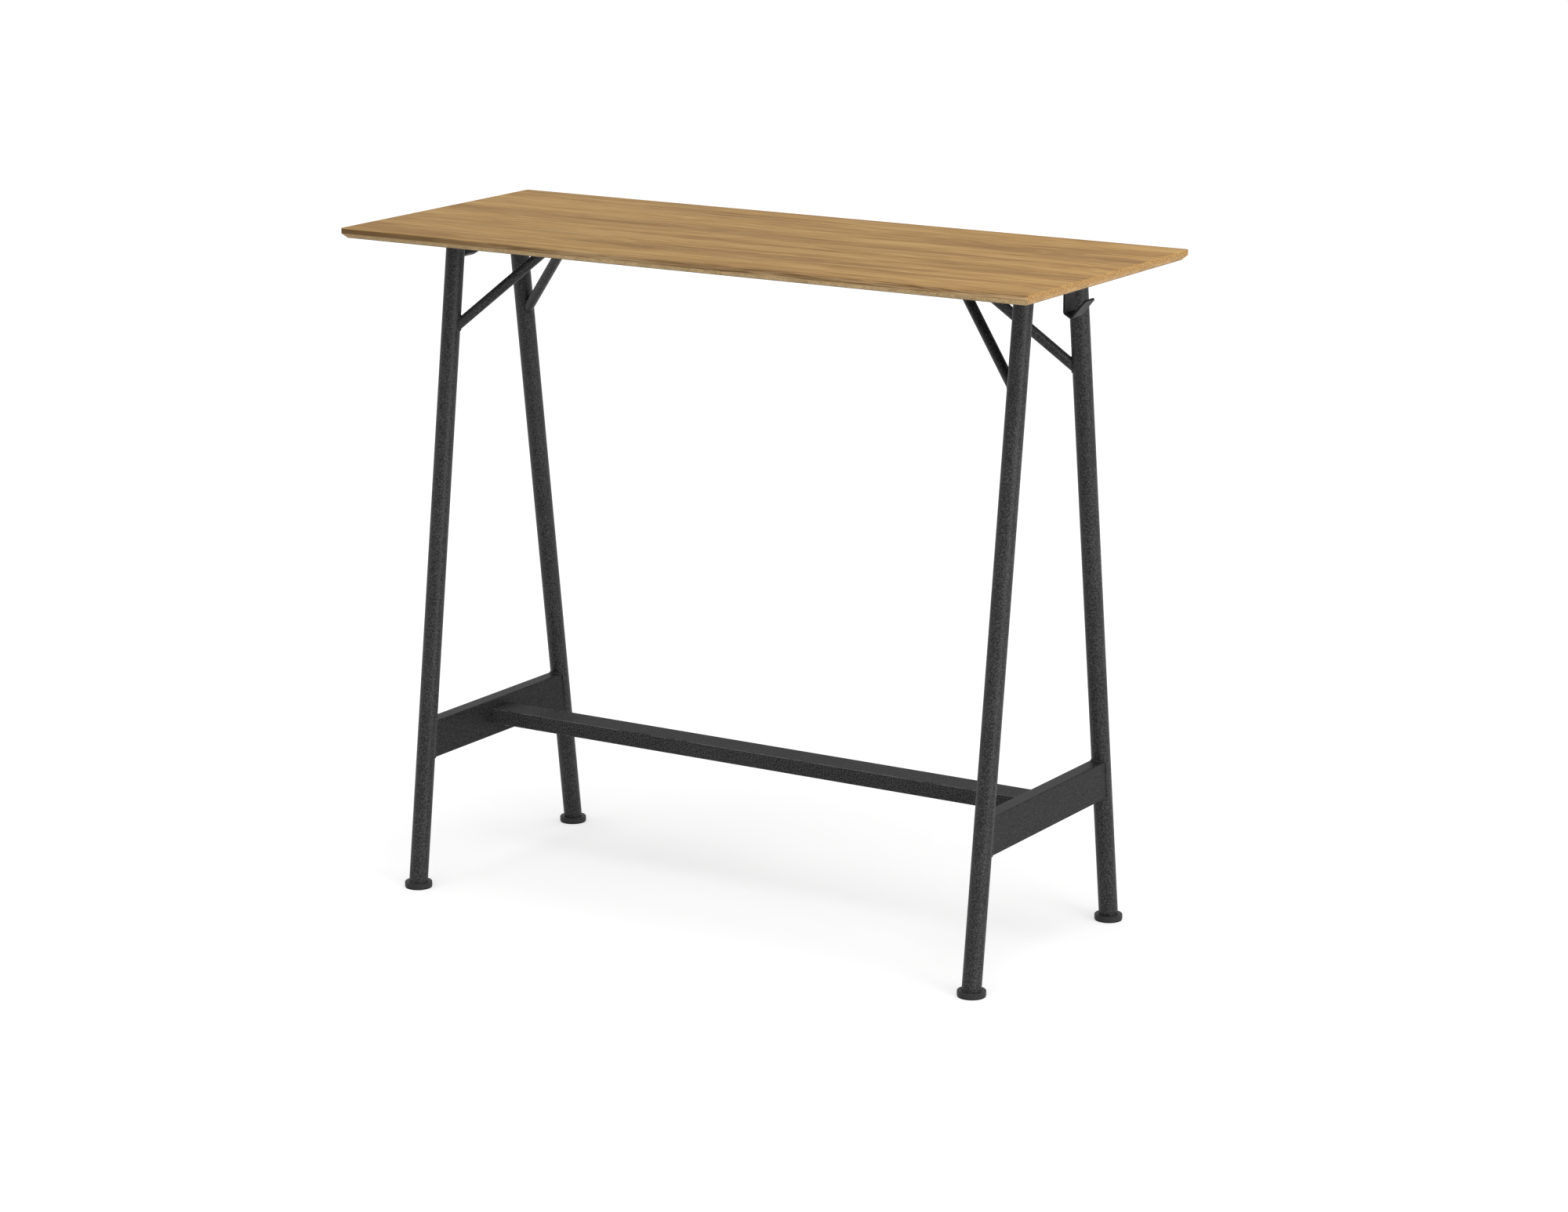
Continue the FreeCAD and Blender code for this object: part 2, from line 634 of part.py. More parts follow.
def bagHook(side):
    """A bag hook: flange under the rail, stem, short sole and a horn that leans outwards."""
    body = newBody(f"{side.title()}BagHook")
    sketch = sketchOn(body, "XZ_Plane", "HookProfile")
    corners = bentStrip(sketch, hookCorners(), "Sizes.hook_thick")
    strip = pad(body, sketch, "Sizes.hook_width", "Symmetric")

    def near(places):
        def test(middle):
            return any(abs(middle.x - spot.x) + abs(middle.z - spot.y) < 1e-4 for spot in places)
        return test

    # the first bend turns the other way from the two below it
    shoulder, heel, toe = corners[1:-1]
    insides = [shoulder[0], heel[1], toe[1]]
    outsides = [shoulder[1], heel[0], toe[0]]
    inner = dress(body, "Fillet", strip, straightEdges(strip.Shape, Y_AXIS, near(insides)),
                  {"Radius": "Sizes.hook_bend_radius"})
    outer = dress(body, "Fillet", inner, straightEdges(inner.Shape, Y_AXIS, near(outsides)),
                  {"Radius": "Sizes.hook_bend_radius + Sizes.hook_thick"})

    tipRun, tipAcross = corners[-1]
    tipAxis = (tipAcross - tipRun).normalize()
    tipEdges = straightEdges(outer.Shape, FreeCAD.Vector(tipAxis.x, 0, tipAxis.y),
                             lambda middle: middle.x > valueOf(sheet, "Sizes.hook_toe_x"))
    dress(body, "Fillet", outer, tipEdges, {"Radius": "Sizes.hook_tip_round"})

    hole = drill(body, "Sizes.screw_hole_radius", "Sizes.leg_x - Sizes.hook_screw_pitch / 2", "0")
    repeat(body, [hole], *HOOK_ROW)
    if side == "left":
        body.Placement.Rotation = FreeCAD.Rotation(Z_AXIS, 180)
    named(f"{side}_bag_hook", body)


def platesAndHooks(side):
    x = f"{SIDES[side]} * Sizes.leg_x"
    railHoles = [("0", FIRST_RAIL_Y, RAIL_ROW), ("-Sizes.hook_screw_pitch / 2", "0", HOOK_ROW)]
    plate(f"{side}_top_rail", "Sizes.rail_width", "Sizes.rail_length", x, railHoles)
    plate(f"{side}_brace_plate", "Sizes.brace_plate_width", "Sizes.brace_plate_length",
          f"{SIDES[side]} * Sizes.brace_plate_x", [("0", FIRST_BRACE_Y, BRACE_ROW)])
    bagHook(side)


# ---------------------------------------------------------------- levelling feet

def foot(row, side):
    """A pad with a threaded stud, turning on a sole that is clipped under it."""
    title = f"{row.title()}{side.title()}"
    x = f"{SIDES[side]} * Sizes.leg_x"
    y = f"{ROWS[row]} * {LEG_FOOT_Y}"
    soleTop = "Sizes.sole_thick"
    sole = turned(f"{title}Sole", [
        ("0", "0"),
        ("Sizes.sole_radius", "0"),
        ("Sizes.sole_radius", soleTop),
        ("Sizes.stud_radius", soleTop),
        ("Sizes.stud_radius", f"{soleTop} + Sizes.sole_pin_length"),
        ("0", f"{soleTop} + Sizes.sole_pin_length"),
    ], x, y, "0")
    named(f"{row}_{side}_foot_sole", sole)

    pinBoreTop = "Sizes.sole_pin_length + Sizes.sole_pin_gap"
    seat = "Sizes.pad_thick - Sizes.stud_seat"
    disc = turned(f"{title}Pad", [
        ("0", pinBoreTop),
        ("Sizes.stud_bore_radius", pinBoreTop),
        ("Sizes.stud_bore_radius", "0"),
        ("Sizes.pad_radius", "0"),
        ("Sizes.pad_radius", "Sizes.pad_thick - Sizes.pad_round"),
        ("Sizes.pad_radius - Sizes.pad_round", "Sizes.pad_thick"),
        ("Sizes.stud_radius", "Sizes.pad_thick"),
        ("Sizes.stud_radius", seat),
        ("0", seat),
    ], x, y, soleTop)
    named(f"{row}_{side}_foot_pad", disc)

    stud = turned(f"{title}Stud", [
        ("0", "0"),
        ("Sizes.stud_radius", "0"),
        ("Sizes.stud_radius", "Sizes.stud_length"),
        ("0", "Sizes.stud_length"),
    ], x, y, f"{soleTop} + {seat}")
    named(f"{row}_{side}_foot_stud", stud)


# ---------------------------------------------------------------- the whole desk

def desk():
    board(boardScrews())
    belowPlates = box("BelowPlates", "Sizes.top_length", "Sizes.top_depth", PLATE_UNDERSIDE, "0", "0", "0")
    for side in SIDES:
        outsides = {row: leg(row, side) for row in ROWS}
        crossbar(side, list(outsides.values()))
        platesAndHooks(side)
        for row in ROWS:
            brace(row, side, outsides[row], belowPlates)
            foot(row, side)
    footrest()


def check():
    """Stops where a feature has failed or a sub-part is not a good solid."""
    doc.recompute()
    for item in doc.Objects:
        failed = [state for state in item.State if state in ("Invalid", "Error")]
        if failed:
            raise RuntimeError(f"{item.Name} is {failed}")
    for label, item in nodes.items():
        if item.Shape.isNull() or not item.Shape.isValid() or not item.Shape.Solids:
            raise RuntimeError(f"{label} is not a valid solid")


def write():
    os.makedirs("parts", exist_ok=True)
    for label, item in nodes.items():
        item.Shape.exportStep(f"parts/{label}.step")
        size = item.Shape.BoundBox
        print(f"{label}: {len(item.Shape.Solids)} solid(s), "
              f"{size.XLength:.1f} x {size.YLength:.1f} x {size.ZLength:.1f} mm")


desk()
check()
write()
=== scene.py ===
import math

import bpy
from mathutils import Matrix, Vector


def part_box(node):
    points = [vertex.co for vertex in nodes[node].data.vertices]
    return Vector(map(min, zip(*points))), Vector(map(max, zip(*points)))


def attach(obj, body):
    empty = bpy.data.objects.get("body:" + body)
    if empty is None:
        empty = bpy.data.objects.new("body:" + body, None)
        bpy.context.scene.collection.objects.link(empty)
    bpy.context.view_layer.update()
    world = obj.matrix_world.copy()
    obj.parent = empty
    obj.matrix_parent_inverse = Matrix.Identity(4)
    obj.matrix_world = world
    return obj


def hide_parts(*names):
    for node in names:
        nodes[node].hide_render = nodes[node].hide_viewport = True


# A counter-height standing desk, in metres. X runs along it, -Y is its user's side and Z is up.

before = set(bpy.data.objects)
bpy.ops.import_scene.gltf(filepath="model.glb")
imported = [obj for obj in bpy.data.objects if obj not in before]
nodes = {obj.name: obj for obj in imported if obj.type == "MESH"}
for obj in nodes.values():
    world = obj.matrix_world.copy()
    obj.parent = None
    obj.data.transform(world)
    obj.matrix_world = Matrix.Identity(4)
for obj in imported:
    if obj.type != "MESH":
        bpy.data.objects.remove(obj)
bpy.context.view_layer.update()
print("frame loaded:", len(nodes), "parts")


# node tree helpers

noiseSpan = (0.3, 0.7)  # where nearly all values of a noise lie


def addNode(tree, kind, values=None, links=None, **fields):
    node = tree.nodes.new(kind)
    for name, value in fields.items():
        setattr(node, name, value)
    for name, value in (values or {}).items():
        node.inputs[name].default_value = value
    for name, source in (links or {}).items():
        tree.links.new(source, node.inputs[name])
    return node


def calc(tree, operation, first, second=0):
    node = addNode(tree, "ShaderNodeMath", operation=operation)
    for i, source in enumerate((first, second)):
        if isinstance(source, (int, float)):
            node.inputs[i].default_value = source
        else:
            tree.links.new(source, node.inputs[i])
    return node.outputs[0]


def weighted(tree, parts, weights):
    total = 0
    for name, weight in weights.items():
        total = calc(tree, "ADD", total, calc(tree, "MULTIPLY", parts[name], weight))
    return total


def newFinish(name, roughness, specular=0.5, metallic=0.0):
    finish = bpy.data.materials.new(name)
    finish.use_nodes = True
    shader = finish.node_tree.nodes["Principled BSDF"]
    shader.inputs["Roughness"].default_value = roughness
    shader.inputs["Specular IOR Level"].default_value = specular
    shader.inputs["Metallic"].default_value = metallic
    return finish, finish.node_tree, shader


def objectPoint(tree, stretch=(1, 1, 1)):
    spot = addNode(tree, "ShaderNodeTexCoord")
    mapping = addNode(tree, "ShaderNodeMapping", {"Scale": stretch}, {"Vector": spot.outputs["Object"]})
    return mapping.outputs["Vector"]


def noise(tree, vector, scale=1, detail=2, roughness=0.5):
    values = {"Scale": scale, "Detail": detail, "Roughness": roughness}
    return addNode(tree, "ShaderNodeTexNoise", values, {"Vector": vector}).outputs[0]


def levels(tree, factor, low, high, start=0, end=1):
    node = addNode(tree, "ShaderNodeMapRange", links={"Value": factor}, clamp=True)
    for name, value in {"From Min": low, "From Max": high, "To Min": start, "To Max": end}.items():
        node.inputs[name].default_value = value
    return node.outputs["Result"]


def alongDesk(tree, span, start, end):
    # from start to end as X runs over the span
    split = addNode(tree, "ShaderNodeSeparateXYZ", links={"Vector": objectPoint(tree)})
    return levels(tree, split.outputs["X"], *span, start, end)


def facing(tree, direction, low, high):
    # 1 where the surface looks along the direction or against it
    spot = addNode(tree, "ShaderNodeTexCoord")
    match = addNode(tree, "ShaderNodeVectorMath", operation="DOT_PRODUCT")
    tree.links.new(spot.outputs["Normal"], match.inputs[0])
    match.inputs[1].default_value = direction
    return levels(tree, calc(tree, "ABSOLUTE", match.outputs["Value"]), low, high)


def fromScreen(red, green, blue):
    # a screen colour, 0 to 255, as linear light
    return tuple(((v / 255 + 0.055) / 1.055) ** 2.4 if v > 10 else v / 3295 for v in (red, green, blue))


def ramp(tree, factor, stops):
    node = addNode(tree, "ShaderNodeValToRGB", links={"Fac": factor})
    band = node.color_ramp
    while len(band.elements) < len(stops):
        band.elements.new(0.5)
    for element, (position, colour) in zip(band.elements, stops):
        element.position = position
        element.color = (*colour, 1)
    return node.outputs["Color"]


def twoTone(tree, factor, stops, dark, light):
    return ramp(tree, factor, [(stops[0], fromScreen(*dark)), (stops[1], fromScreen(*light))])


def mixColour(tree, factor, first, second, blend="MIX"):
    node = addNode(tree, "ShaderNodeMix", data_type="RGBA", blend_type=blend)
    for name, source in {"Factor": factor, "A": first, "B": second}.items():
        found = [s for s in node.inputs if s.name == name and s.enabled][0]
        if isinstance(source, tuple):
            found.default_value = (*source, 1)
        else:
            tree.links.new(source, found)
    return [s for s in node.outputs if s.enabled][0]


def unevenRoughness(tree, shader, factor, look):
    # with a spread below nought the high values are the smoother ones
    middle, spread = look["roughness"], look["roughSpread"]
    rough = levels(tree, factor, *noiseSpan, middle - spread, middle + spread)
    tree.links.new(rough, shader.inputs["Roughness"])


def addBump(tree, shader, height, strength, depth):
    bump = addNode(tree, "ShaderNodeBump", {"Strength": strength, "Distance": depth}, {"Height": height})
    tree.links.new(bump.outputs["Normal"], shader.inputs["Normal"])


# wood-look laminate: straight grain along X, speckled where the board's ends are cut across it

woodSet = {
    "face": {"dark": (138, 105, 65), "middle": (175, 137, 82), "light": (196, 160, 102),
             "figure": (143, 110, 70)},
    "edge": {"dark": (114, 88, 58), "middle": (171, 141, 102), "light": (200, 171, 130),
             "figure": (126, 100, 69)},
    "stops": {"dark": 0.41, "middle": 0.5, "light": 0.59},
    "layers": {
        "band": {"stretch": (1.4, 17, 17), "detail": 2},
        "streak": {"stretch": (4, 150, 150), "detail": 3},
        "fibre": {"stretch": (15, 760, 760), "detail": 2},
        "pore": {"stretch": (36, 1500, 1500), "detail": 1},
        "figure": {"stretch": (2, 34, 34), "detail": 3},
    },
    "weights": {"band": 0.34, "streak": 0.24, "fibre": 0.42},
    "warp": {"stretch": (1.1, 6, 6), "width": 0.034},
    "markRange": (0.56, 0.72),  # the noise values from which pores and figure show, and show in full
    "poreShare": 0.35,
    "figureShare": 0.5,
    # painted light that grows towards the desk's right end, then painted shade towards its left end
    "paintedLightRight": {"span": (-0.2, 0.62), "share": 0.46, "lightScale": (1.46, 1.41, 1.4)},
    "paintedShadeLeft": {"span": (-0.55, -0.1), "share": 0.95},
    "cutEnd": {"dark": (148, 110, 66), "light": (206, 167, 113), "stops": (0.43, 0.57),
               "facing": (0.6, 0.8), "stretch": (1, 0.7, 1),
               "speckle": {"scale": 620, "detail": 3, "roughness": 0.7}},
    # painted highlight along the band's upper edge
    "rim": {"colour": (222, 188, 132), "facing": (0.5, 0.9), "share": 0.6},
    "roughness": 0.5,
    "roughSpread": -0.05,
    "specular": 0.02,
    "fibreHeight": 0.6,
    "bump": {"strength": 0.25, "depth": 0.0002},
}


def wavyPoint(tree):
    # the grain runs straight but for a slow sway across it
    warp = noise(tree, objectPoint(tree, woodSet["warp"]["stretch"]))
    sway = calc(tree, "MULTIPLY", calc(tree, "SUBTRACT", warp, 0.5), woodSet["warp"]["width"])
    shift = addNode(tree, "ShaderNodeCombineXYZ", links={"Y": sway, "Z": sway})
    wavy = addNode(tree, "ShaderNodeVectorMath", operation="ADD")
    tree.links.new(objectPoint(tree), wavy.inputs[0])
    tree.links.new(shift.outputs[0], wavy.inputs[1])
    return wavy.outputs[0]


def bandEdge(tree, colour, shade):
    # painted shade towards the left, speckled on the cut ends and with a painted highlight along its upper
    # rim
    paintedShadeLeft, cutEnd, rim = woodSet["paintedShadeLeft"], woodSet["cutEnd"], woodSet["rim"]
    # painted shade: the band turns darker towards the desk's left end
    colour = mixColour(tree, alongDesk(tree, paintedShadeLeft["span"], paintedShadeLeft["share"], 0), colour, shade["dark"])
    speckle = noise(tree, objectPoint(tree, cutEnd["stretch"]), **cutEnd["speckle"])
    ends = twoTone(tree, speckle, cutEnd["stops"], cutEnd["dark"], cutEnd["light"])
    colour = mixColour(tree, facing(tree, (1, 0, 0), *cutEnd["facing"]), colour, ends)
    # painted highlight: a pale colour on the band's faces that look up or down
    share = calc(tree, "MULTIPLY", facing(tree, (0, 0, 1), *rim["facing"]), rim["share"])
    return mixColour(tree, share, colour, fromScreen(*rim["colour"]))


def woodLaminate(name, tones, isEdge=False):
    finish, tree, shader = newFinish(name, woodSet["roughness"], woodSet["specular"])
    shade = {key: fromScreen(*colour) for key, colour in tones.items()}
    point = wavyPoint(tree)
    parts = {}
    for key, layer in woodSet["layers"].items():
        stretched = addNode(tree, "ShaderNodeMapping", {"Scale": layer["stretch"]}, {"Vector": point})
        parts[key] = noise(tree, stretched.outputs["Vector"], detail=layer["detail"])
    tone = weighted(tree, parts, woodSet["weights"])
    grain = ramp(tree, tone, [(at, shade[key]) for key, at in woodSet["stops"].items()])
    # painted light: the grain is multiplied lighter towards the desk's right end
    paintedLightRight = woodSet["paintedLightRight"]
    grain = mixColour(tree, alongDesk(tree, paintedLightRight["span"], 0, paintedLightRight["share"]), grain, paintedLightRight["lightScale"], "MULTIPLY")

    figure = levels(tree, parts["figure"], *woodSet["markRange"])
    pore = levels(tree, parts["pore"], *woodSet["markRange"])
    figured = mixColour(tree, calc(tree, "MULTIPLY", figure, woodSet["figureShare"]), grain, shade["figure"])
    colour = mixColour(tree, calc(tree, "MULTIPLY", pore, woodSet["poreShare"]), figured, shade["dark"])
    if isEdge:
        colour = bandEdge(tree, colour, shade)
    tree.links.new(colour, shader.inputs["Base Color"])
    unevenRoughness(tree, shader, parts["streak"], woodSet)
    height = calc(tree, "SUBTRACT", calc(tree, "MULTIPLY", parts["fibre"], woodSet["fibreHeight"]), pore)
    addBump(tree, shader, height, **woodSet["bump"])
    return finish


# sealed fibre board where the bevel lays the core bare

coreSet = {
    "dark": (160, 132, 92),
    "light": (214, 184, 136),
    "endDark": (150, 112, 66),
    "endLight": (220, 180, 124),
    "endFacing": (0.4, 0.6),
    "stops": (0.38, 0.62),
    "fleckStretch": (0.4, 1, 1),
    "fleck": {"scale": 430, "detail": 3, "roughness": 0.7},
    "cloud": {"scale": 60, "detail": 3},
    "weights": {"fleck": 0.7, "cloud": 0.3},
    # painted shade towards the desk's left end
    "paintedShadeLeft": {"span": (-0.55, -0.1), "share": 0.6},
    "roughness": 0.66,
    "specular": 0.2,
    "bump": {"strength": 0.3, "depth": 0.0003},
}


def fibreBoard(name):
    finish, tree, shader = newFinish(name, coreSet["roughness"], coreSet["specular"])
    fleck = noise(tree, objectPoint(tree, coreSet["fleckStretch"]), **coreSet["fleck"])
    cloud = noise(tree, objectPoint(tree), **coreSet["cloud"])
    tone = weighted(tree, {"fleck": fleck, "cloud": cloud}, coreSet["weights"])
    sides = twoTone(tree, tone, coreSet["stops"], coreSet["dark"], coreSet["light"])
    # painted shade: the core turns darker towards the desk's left end
    paintedShadeAmount = alongDesk(tree, coreSet["paintedShadeLeft"]["span"], coreSet["paintedShadeLeft"]["share"], 0)
    sides = mixColour(tree, paintedShadeAmount, sides, fromScreen(*coreSet["dark"]))
    ends = twoTone(tree, tone, coreSet["stops"], coreSet["endDark"], coreSet["endLight"])
    colour = mixColour(tree, facing(tree, (1, 0, 0), *coreSet["endFacing"]), sides, ends)
    tree.links.new(colour, shader.inputs["Base Color"])
    addBump(tree, shader, fleck, **coreSet["bump"])
    return finish


# dark balancing sheet on the board's underside

backerSet = {
    "dark": (70, 62, 54),
    "light": (84, 75, 66),
    "stops": (0.4, 0.6),
    "cloudStretch": (3, 40, 40),
    "cloudDetail": 4,
    "pebble": {"scale": 1400, "detail": 2},
    "roughness": 0.6,
    "specular": 0.4,
    "bump": {"strength": 0.2, "depth": 0.0002},
}


def balancingSheet(name):
    finish, tree, shader = newFinish(name, backerSet["roughness"], backerSet["specular"])
    cloud = noise(tree, objectPoint(tree, backerSet["cloudStretch"]), detail=backerSet["cloudDetail"])
    colour = twoTone(tree, cloud, backerSet["stops"], backerSet["dark"], backerSet["light"])
    tree.links.new(colour, shader.inputs["Base Color"])
    addBump(tree, shader, noise(tree, objectPoint(tree), **backerSet["pebble"]), **backerSet["bump"])
    return finish


# fine-textured powder coat, painted darker on some parts and lighter on the footrest, and lighter on the
# footrest's upper edges from wear where shoes meet them and from a painted highlight

coatSet = {
    "dark": (14, 14, 15),
    "light": (66, 66, 67),
    "middle": 0.52,
    # the same coat on every part, its tones scaled for painted light and shade: darker on the crossbars and
    # hooks, lighter on the footrest
    "looks": {
        "round": {"specular": 0.24, "paintedLightScale": 1.04, "spread": 0.06},
        "paintedDarker": {"specular": 0.08, "paintedLightScale": 0.88, "spread": 0.14},
        "paintedLighter": {"specular": 0.02, "paintedLightScale": 1.75, "spread": 0.11},
    },
    "layers": {
        "grain": {"scale": 480, "detail": 3, "roughness": 0.65},
        "cloud": {"scale": 14, "detail": 3},
        "pebble": {"scale": 1900, "detail": 1},
    },
    "weights": {"grain": 0.94, "cloud": 0.06},
    "heights": {"grain": 0.7, "pebble": 0.3},
    # wear and a painted highlight on the footrest's upper arrises
    "wornHighlight": {"colour": (124, 122, 119), "facing": (0.93, 0.995), "share": 0.85,
               "patches": {"scale": 22, "detail": 4, "roughness": 0.7}, "patchRange": (0.36, 0.56)},
    "roughness": 0.47,
    "roughSpread": 0.07,
    "bump": {"strength": 0.45, "depth": 0.0004},
}


def wearAndHighlightEdge(tree, colour, direction):
    # lighter on the upper arrises: wear where shoes meet them, and a painted highlight
    wornHighlight = coatSet["wornHighlight"]
    edge = facing(tree, Vector(direction).normalized(), *wornHighlight["facing"])
    patches = levels(tree, noise(tree, objectPoint(tree), **wornHighlight["patches"]), *wornHighlight["patchRange"])
    wearAndHighlight = calc(tree, "MULTIPLY", calc(tree, "MULTIPLY", edge, patches), wornHighlight["share"])
    return mixColour(tree, wearAndHighlight, colour, fromScreen(*wornHighlight["colour"]))


def powderCoat(name, look, wornHighlitEdges=()):
    kind = coatSet["looks"][look]
    finish, tree, shader = newFinish(name, coatSet["roughness"], kind["specular"])
    parts = {key: noise(tree, objectPoint(tree), **layer) for key, layer in coatSet["layers"].items()}
    tone = weighted(tree, parts, coatSet["weights"])
    # painted light and shade: the coat's tones are scaled lighter or darker for each part
    dark = Vector(fromScreen(*coatSet["dark"])) * kind["paintedLightScale"]
    light = Vector(fromScreen(*coatSet["light"])) * kind["paintedLightScale"]
    middle, spread = coatSet["middle"], kind["spread"]
    colour = ramp(tree, tone, [(middle - spread, dark), (middle + spread, light)])
    for direction in wornHighlitEdges:
        colour = wearAndHighlightEdge(tree, colour, direction)
    tree.links.new(colour, shader.inputs["Base Color"])
    unevenRoughness(tree, shader, parts["grain"], coatSet)
    addBump(tree, shader, weighted(tree, parts, coatSet["heights"]), **coatSet["bump"])
    return finish


# zinc plate: plain on screws, plugs and studs, black on the screws under the footrest

zincSet = {
    "plain": {"dark": (150, 150, 148), "light": (186, 186, 184)},
    "black": {"dark": (42, 42, 43), "light": (62, 62, 63)},
    "stops": (0.35, 0.65),
    "cloud": {"scale": 320, "detail": 4},
    "brushStretch": (1, 1, 0.1),
    "brush": {"scale": 2600, "detail": 2},
    "roughness": 0.37,
    "roughSpread": -0.07,
    "bump": {"strength": 0.15, "depth": 0.0001},
}


def zincPlate(name, tones):
    finish, tree, shader = newFinish(name, zincSet["roughness"], metallic=1)
    cloud = noise(tree, objectPoint(tree), **zincSet["cloud"])
    colour = twoTone(tree, cloud, zincSet["stops"], tones["dark"], tones["light"])
    tree.links.new(colour, shader.inputs["Base Color"])
    unevenRoughness(tree, shader, cloud, zincSet)
    brush = noise(tree, objectPoint(tree, zincSet["brushStretch"]), **zincSet["brush"])
    addBump(tree, shader, brush, **zincSet["bump"])
    return finish


# plastic pads and rubber soles, both with the fine grain of their mould

plasticSet = {
    "dark": (32, 32, 33),
    "light": (56, 56, 57),
    "stops": (0.35, 0.65),
    "grain": {"scale": 900, "detail": 2, "roughness": 0.6},
    "roughness": 0.55,
    "specular": 0.2,
    "bump": {"strength": 0.3, "depth": 0.0002},
}
rubberSet = {
    "dark": (22, 22, 22),
    "light": (38, 37, 36),
    "stops": (0.35, 0.65),
    "grain": {"scale": 900, "detail": 3},
    "roughness": 0.8,
    "specular": 0.2,
    "bump": {"strength": 0.3, "depth": 0.0003},
}


def moulded(name, look):
    finish, tree, shader = newFinish(name, look["roughness"], look["specular"])
    grain = noise(tree, objectPoint(tree), **look["grain"])
    colour = twoTone(tree, grain, look["stops"], look["dark"], look["light"])
    tree.links.new(colour, shader.inputs["Base Color"])
    addBump(tree, shader, grain, **look["bump"])
    return finish


print("finishes")
coat = powderCoat("powderCoat", "round")
# the crossbars and hooks take a copy painted darker, the footrest one painted lighter
shadedCoat = powderCoat("crossbarCoat", "paintedDarker")
litWornCoat = powderCoat("footrestCoat", "paintedLighter", [(0, -1, 1), (0, 1, 1)])
finishOf = {
    "worktop_laminate": woodLaminate("woodFace", woodSet["face"]),
    "worktop_edge_band": woodLaminate("woodEdge", woodSet["edge"], isEdge=True),
    "worktop_core": fibreBoard("fibreBoard"),
    "worktop_backer": balancingSheet("balancingSheet"),
    "footrest_stretcher": litWornCoat,
    "left_crossbar": shadedCoat,
    "right_crossbar": shadedCoat,
    "left_bag_hook": shadedCoat,
    "right_bag_hook": shadedCoat,
}
zinc = zincPlate("zincPlate", zincSet["plain"])
blackZinc = zincPlate("blackZinc", zincSet["black"])
plastic = moulded("mouldedPlastic", plasticSet)
rubber = moulded("soleRubber", rubberSet)
endings = {"_footrest_screws": blackZinc, "_screws": zinc, "_foot_stud": zinc, "_leg_plug": zinc,
           "_foot_pad": plastic, "_foot_sole": rubber}  # the first that fits counts


def finishFor(name):
    for ending, finish in endings.items():
        if name.endswith(ending):
            return finish
    return finishOf.get(name, coat)


for nodeName, item in nodes.items():
    for slot in item.material_slots:
        slot.material = finishFor(nodeName)


# shapes grown from geometry nodes, and rings of points skinned in mesh code

def newShape(name, sockets):
    tree = bpy.data.node_groups.new(name, "GeometryNodeTree")
    tree.interface.new_socket("Geometry", in_out="OUTPUT", socket_type="NodeSocketGeometry")
    for label, kind in {"Geometry": "Geometry", **sockets, "Finish": "Material"}.items():
        tree.interface.new_socket(label, in_out="INPUT", socket_type="NodeSocket" + kind)
    return tree, tree.nodes.new("NodeGroupInput").outputs


def endShape(tree, given, geometry):
    whole = addNode(tree, "GeometryNodeRealizeInstances", links={"Geometry": geometry})
    dressed = addNode(tree, "GeometryNodeSetMaterial",
                      links={"Geometry": whole.outputs[0], "Material": given["Finish"]})
    ending = tree.nodes.new("NodeGroupOutput")
    tree.links.new(dressed.outputs[0], ending.inputs[0])


def addPiece(name, mesh):
    piece = bpy.data.objects.new(name, mesh)
    bpy.context.scene.collection.objects.link(piece)
    return piece


def grow(name, tree, sizes, seedMesh=None):
    seed = addPiece("seed", seedMesh or bpy.data.meshes.new("seed"))
    modifier = seed.modifiers.new("shape", "NODES")
    modifier.node_group = tree
    for socket in tree.interface.items_tree:
        if socket.in_out == "INPUT" and socket.name in sizes:
            modifier[socket.identifier] = sizes[socket.name]
    graph = bpy.context.evaluated_depsgraph_get()
    mesh = bpy.data.meshes.new_from_object(seed.evaluated_get(graph))
    mesh.name = name
    seed.modifiers.remove(modifier)
    bpy.data.objects.remove(seed)
    return addPiece(name, mesh)


def ringAt(height, radius, sides):
    # height and radius are numbers, or functions of the turn round the ring
    points = []
    for i in range(sides):
        turn = 2 * math.pi * i / sides
        reach = radius(turn) if callable(radius) else radius
        level = height(turn) if callable(height) else height
        points.append(Vector((reach * math.cos(turn), reach * math.sin(turn), level)))
    return points


def skinRings(name, rings, lowest, highest, smoothFrom=0):
    # a closed skin over the rings, from a point at the lowest height to one at the highest,
    # flat-shaded below the ring numbered smoothFrom
    sides = len(rings[0])
    points = [point for ring in rings for point in ring]
    points += [Vector((0, 0, lowest)), Vector((0, 0, highest))]
    bottom, top = len(points) - 2, len(points) - 1
    lastRing = (len(rings) - 1) * sides
    faces = [(bottom, (j + 1) % sides, j) for j in range(sides)]
    for first in range(0, lastRing, sides):
        for j in range(sides):
            k = (j + 1) % sides
            faces.append((first + j, first + k, first + sides + k, first + sides + j))
    faces += [(top, lastRing + j, lastRing + (j + 1) % sides) for j in range(sides)]
    mesh = bpy.data.meshes.new(name)
    mesh.from_pydata(points, [], faces)
    for i, face in enumerate(mesh.polygons):
        face.use_smooth = i >= (1 + smoothFrom) * sides
    return mesh


